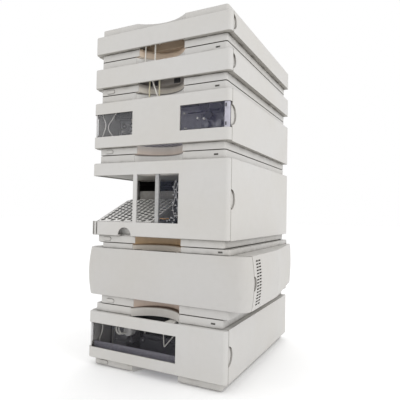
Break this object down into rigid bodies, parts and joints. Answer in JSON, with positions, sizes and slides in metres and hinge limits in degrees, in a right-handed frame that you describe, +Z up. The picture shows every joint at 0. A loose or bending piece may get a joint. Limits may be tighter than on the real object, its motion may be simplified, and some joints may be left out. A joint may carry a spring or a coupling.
{
  "type": "hplc system",
  "caption": "Stack of bench instruments for liquid chromatography: solvent tray, degasser, pump, autosampler, column oven and detector, with pull-off covers.",
  "frame": {"origin": "middle of the underside of the lowest instrument, on the surface that it stands on", "axes": "+X to the right seen from the front, +Y to the back, +Z up"},
  "size_m": [0.41, 0.435, 0.777],
  "materials": {
    "body_plastic": "fine textured",
    "cover_plastic": "fine textured",
    "smoked_pane": "smooth, tinted",
    "dark_plastic": "satin",
    "button_plastic": "satin",
    "lamp_lens": "smooth",
    "steel": "brushed",
    "aluminium": "fine blasted",
    "painted_plate": "powder coated",
    "tube_plastic": "translucent",
    "tray_plastic": "smooth",
    "valve_plastic": "satin"
  },
  "bodies": {
    "stack": {"column_clips": "aluminium", "degasser_housing": "body_plastic", "degasser_ports": "tray_plastic", "degasser_rear_plate": "painted_plate", "detector_housing": "body_plastic", "detector_rear_plate": "painted_plate", "detector_tubes": "tube_plastic", "feed_tubes": "tube_plastic", "flow_cell": "valve_plastic", "heater_blocks": "aluminium", "injection_valve": "steel", "mixing_valve": "valve_plastic", "optics_cover": "aluminium", "oven_housing": "body_plastic", "oven_rear_plate": "painted_plate", "power_inlets": "dark_plastic", "pump_head": "steel", "pump_housing": "body_plastic", "pump_rear_plate": "painted_plate", "pump_tubes": "tube_plastic", "sampler_back_panel": "tray_plastic", "sampler_housing": "body_plastic", "sampler_rear_plate": "painted_plate", "sampling_frame": "dark_plastic", "separation_column": "steel", "signal_sockets": "dark_plastic", "solvent_tubes": "tube_plastic", "status_lamps": "lamp_lens", "transport_rail": "aluminium", "tray_shell": "body_plastic", "vial_tray": "tray_plastic", "vial_tray_deck": "tray_plastic"},
    "tray_cover": {"tray_cover": "cover_plastic"},
    "degasser_cover": {"degasser_cover": "cover_plastic"},
    "pump_cover": {"pump_cover": "cover_plastic", "pump_window_left": "smoked_pane", "pump_window_right": "smoked_pane"},
    "sampler_cover": {"sampler_cover": "cover_plastic"},
    "sampler_door": {"sampler_door_post": "tray_plastic", "sampler_door_pane": "smoked_pane"},
    "oven_cover": {"oven_cover": "cover_plastic"},
    "detector_cover": {"detector_cover": "cover_plastic", "detector_window": "smoked_pane"},
    "purge_knob": {"purge_knob": "dark_plastic"},
    "transport_carriage": {"transport_carriage": "dark_plastic"},
    "transport_lift": {"transport_lift": "aluminium"},
    "transport_arm": {"transport_arm": "dark_plastic"},
    "gripper_finger_left": {"gripper_finger_left": "dark_plastic"},
    "gripper_finger_right": {"gripper_finger_right": "dark_plastic"},
    "needle_arm": {"needle_arm": "dark_plastic", "needle": "steel"},
    "degasser_power_button": {"degasser_power_button": "button_plastic"},
    "pump_power_button": {"pump_power_button": "button_plastic"},
    "sampler_power_button": {"sampler_power_button": "button_plastic"},
    "oven_power_button": {"oven_power_button": "button_plastic"},
    "detector_power_button": {"detector_power_button": "button_plastic"}
  },
  "joints": [
    {"name": "tray_cover_pull", "type": "slide", "parent": "stack", "child": "tray_cover", "axis": [0, -1, 0], "range_m": [0, 0.15]},
    {"name": "degasser_cover_pull", "type": "slide", "parent": "stack", "child": "degasser_cover", "axis": [0, -1, 0], "range_m": [0, 0.15]},
    {"name": "pump_cover_pull", "type": "slide", "parent": "stack", "child": "pump_cover", "axis": [0, -1, 0], "range_m": [0, 0.15]},
    {"name": "sampler_cover_pull", "type": "slide", "parent": "stack", "child": "sampler_cover", "axis": [0, -1, 0], "range_m": [0, 0.15]},
    {"name": "oven_cover_pull", "type": "slide", "parent": "stack", "child": "oven_cover", "axis": [0, -1, 0], "range_m": [0, 0.15]},
    {"name": "detector_cover_pull", "type": "slide", "parent": "stack", "child": "detector_cover", "axis": [0, -1, 0], "range_m": [0, 0.15]},
    {"name": "sampler_door_slide", "type": "slide", "parent": "sampler_cover", "child": "sampler_door", "axis": [-1, 0, 0], "range_m": [0, 0.163]},
    {"name": "degasser_button_press", "type": "slide", "parent": "stack", "child": "degasser_power_button", "axis": [0, 1, 0], "range_m": [0, 0.002], "stiffness_N_per_m": 400},
    {"name": "pump_button_press", "type": "slide", "parent": "stack", "child": "pump_power_button", "axis": [0, 1, 0], "range_m": [0, 0.002], "stiffness_N_per_m": 400},
    {"name": "sampler_button_press", "type": "slide", "parent": "stack", "child": "sampler_power_button", "axis": [0, 1, 0], "range_m": [0, 0.002], "stiffness_N_per_m": 400},
    {"name": "oven_button_press", "type": "slide", "parent": "stack", "child": "oven_power_button", "axis": [0, 1, 0], "range_m": [0, 0.002], "stiffness_N_per_m": 400},
    {"name": "detector_button_press", "type": "slide", "parent": "stack", "child": "detector_power_button", "axis": [0, 1, 0], "range_m": [0, 0.002], "stiffness_N_per_m": 400},
    {"name": "purge_knob_turn", "type": "hinge", "parent": "stack", "child": "purge_knob", "pos_m": [0.108, -0.175, 0.5595], "axis": [0, 1, 0], "range_deg": [0, 270]},
    {"name": "carriage_slide", "type": "slide", "parent": "stack", "child": "transport_carriage", "axis": [-1, 0, 0], "range_m": [0, 0.11]},
    {"name": "lift_slide", "type": "slide", "parent": "transport_carriage", "child": "transport_lift", "axis": [0, 0, -1], "range_m": [0, 0.012]},
    {"name": "arm_turn", "type": "hinge", "parent": "transport_lift", "child": "transport_arm", "pos_m": [0.027, -0.0539, 0.402], "axis": [0, 0, 1], "range_deg": [-45, 0]},
    {"name": "finger_left_open", "type": "slide", "parent": "transport_arm", "child": "gripper_finger_left", "axis": [-1, 0, 0], "range_m": [0, 0.003]},
    {"name": "finger_right_open", "type": "slide", "parent": "transport_arm", "child": "gripper_finger_right", "axis": [1, 0, 0], "range_m": [0, 0.003]},
    {"name": "needle_arm_slide", "type": "slide", "parent": "stack", "child": "needle_arm", "axis": [0, 0, -1], "range_m": [0, 0.03]}
  ],
  "couplings": [
    {"joint": "finger_right_open", "follows": "finger_left_open", "ratio": 1}
  ]
}
